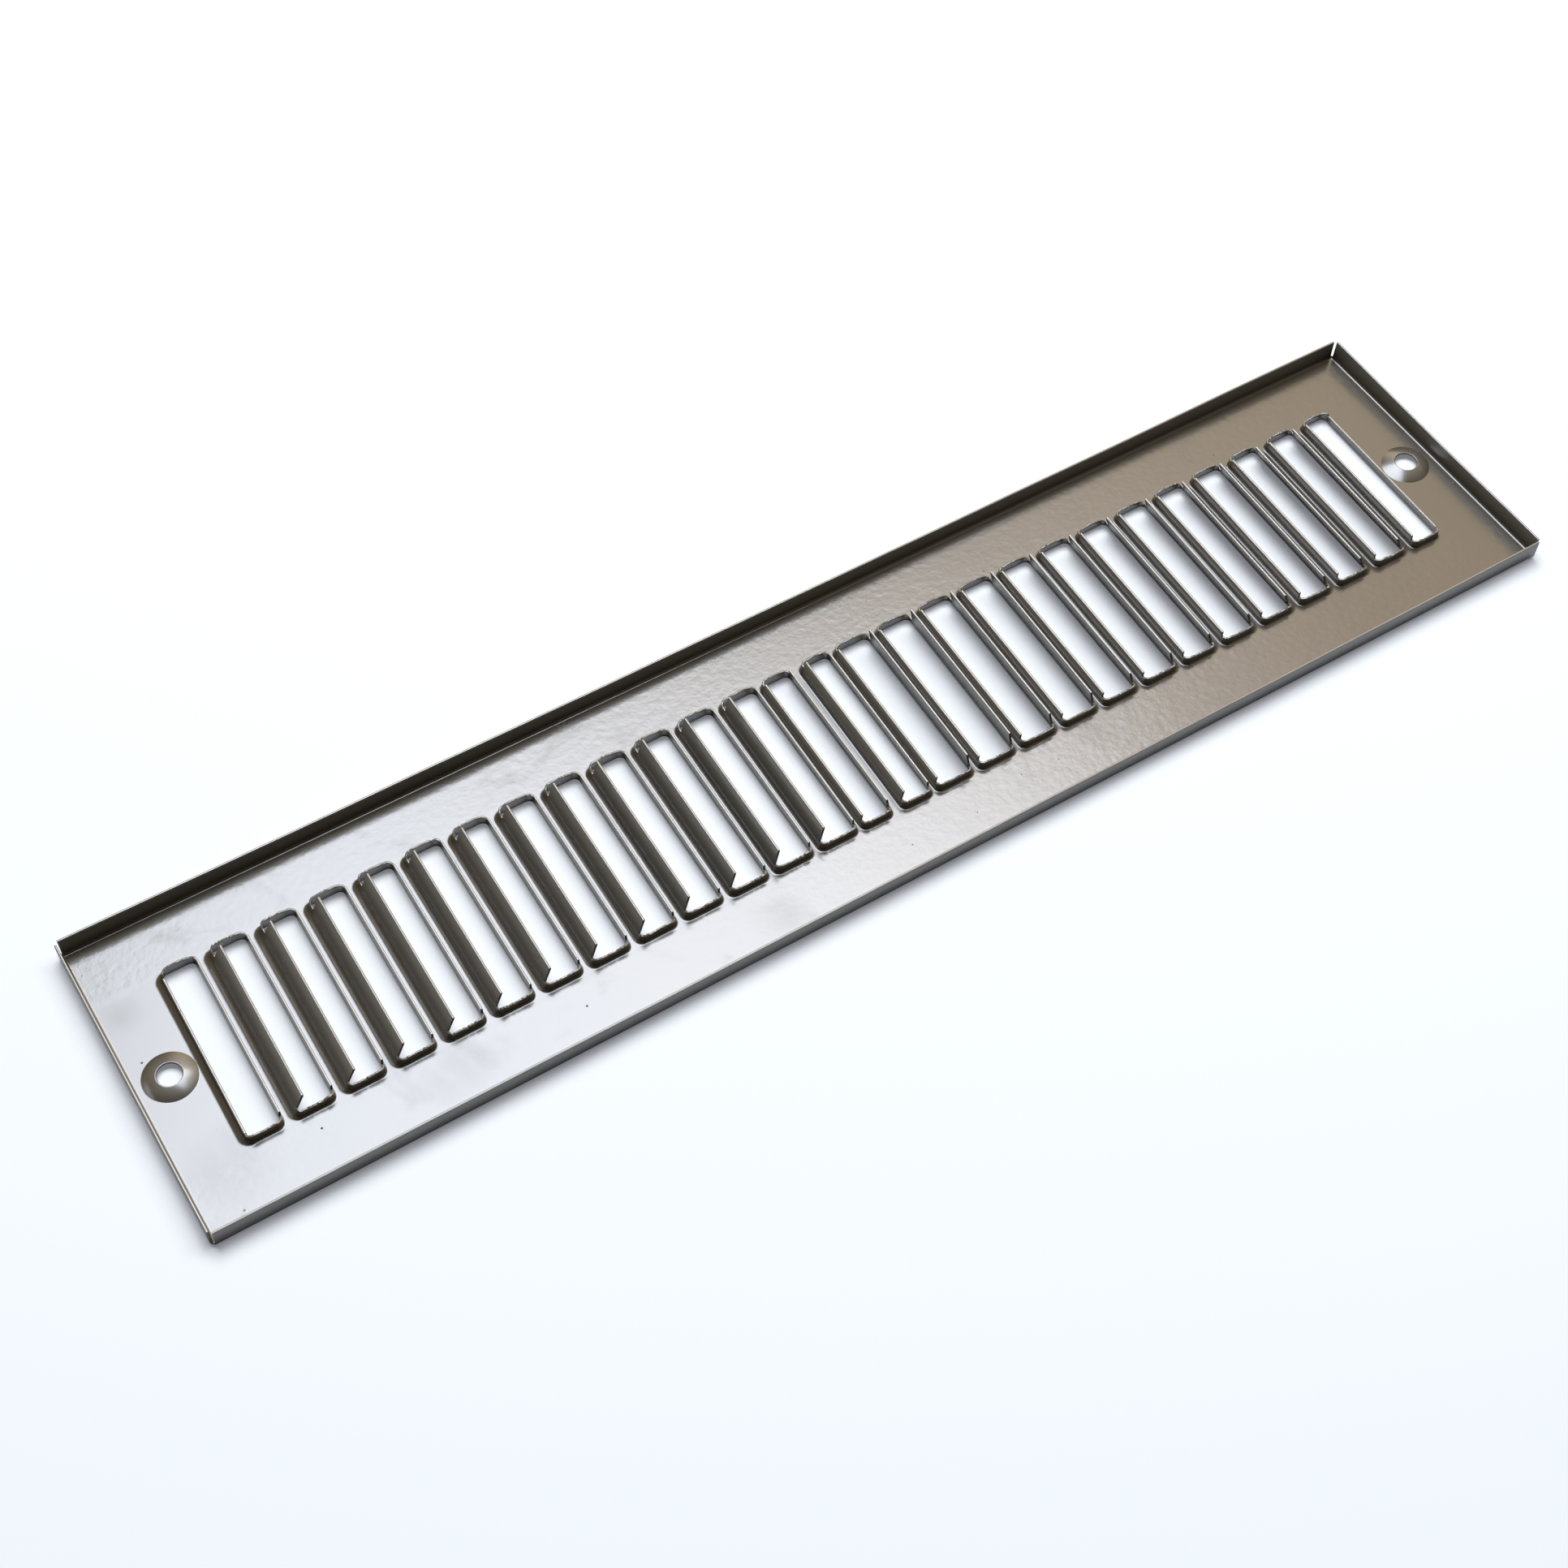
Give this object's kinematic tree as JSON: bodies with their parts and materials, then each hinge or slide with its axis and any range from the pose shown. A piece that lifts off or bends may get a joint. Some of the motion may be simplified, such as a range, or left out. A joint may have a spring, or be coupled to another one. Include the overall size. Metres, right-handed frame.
{
  "type": "toe_kick_register",
  "caption": "Long low register face for the toe kick under a cabinet: pressed sheet steel with a row of leaning louvre fins, folded flanges and a screw seat at each end.",
  "frame": {"origin": "middle of the face on the plane that the face lies on", "axes": "X along the long side, Y across the plate, Z from the face toward the duct"},
  "size_m": [0.381, 0.0856, 0.0079],
  "materials": {
    "painted_steel": "semi-gloss tan enamel"
  },
  "bodies": {
    "root": {"register_plate": "painted_steel"}
  },
  "joints": []
}
